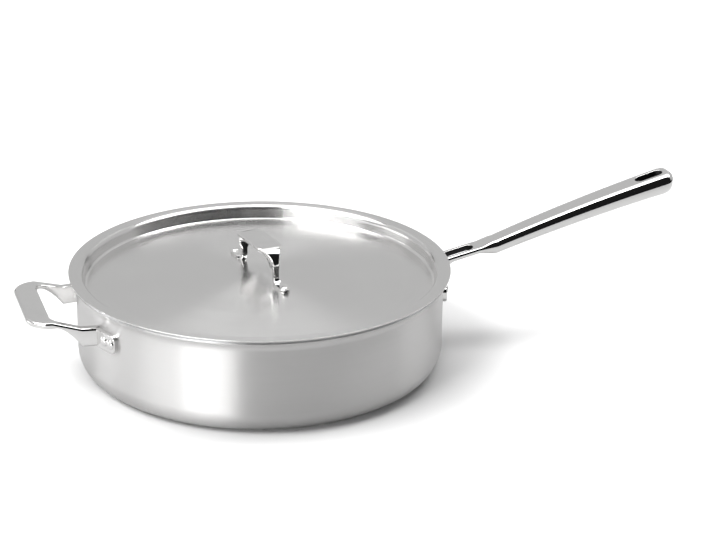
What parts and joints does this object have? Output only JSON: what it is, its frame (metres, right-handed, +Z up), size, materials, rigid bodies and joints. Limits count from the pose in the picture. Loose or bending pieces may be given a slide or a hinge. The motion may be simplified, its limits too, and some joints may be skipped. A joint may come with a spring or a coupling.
{
  "type": "saute pan with lid",
  "caption": "Straight-sided covered saute pan of clad sheet, with a long riveted handle, a helper handle and a recessed flat lid with a strap handle.",
  "frame": {"origin": "centre of the flat underside of the base", "axes": "+Z up, +X along the long handle away from the pan, +Y to the left of the long handle"},
  "size_m": [0.5665, 0.3158, 0.1346],
  "materials": {
    "pan_outside": "fine brushed lines around the wall",
    "core": "plain rolled",
    "pan_inside": "fine brushed lines around the axis",
    "long_handle": "mirror polished",
    "helper_handle": "mirror polished",
    "lid_sheet": "satin with soft reflections",
    "lid_strap": "mirror polished",
    "rivets": "polished"
  },
  "bodies": {
    "pan": {"pan_outer_ply": "pan_outside", "pan_core_ply": "core", "pan_inner_ply": "pan_inside", "long_handle": "long_handle", "long_handle_rivet_1": "rivets", "long_handle_rivet_2": "rivets", "long_handle_rivet_3": "rivets", "long_handle_rivet_4": "rivets", "helper_handle": "helper_handle", "helper_rivet_1": "rivets", "helper_rivet_2": "rivets", "helper_rivet_3": "rivets", "helper_rivet_4": "rivets"},
    "lid": {"lid": "lid_sheet", "lid_handle": "lid_strap", "lid_rivet_1": "rivets", "lid_rivet_2": "rivets"}
  },
  "joints": [
    {"name": "lid_lift", "type": "slide", "parent": "pan", "child": "lid", "axis": [0, 0, 1], "range_m": [0, 0.1]}
  ]
}
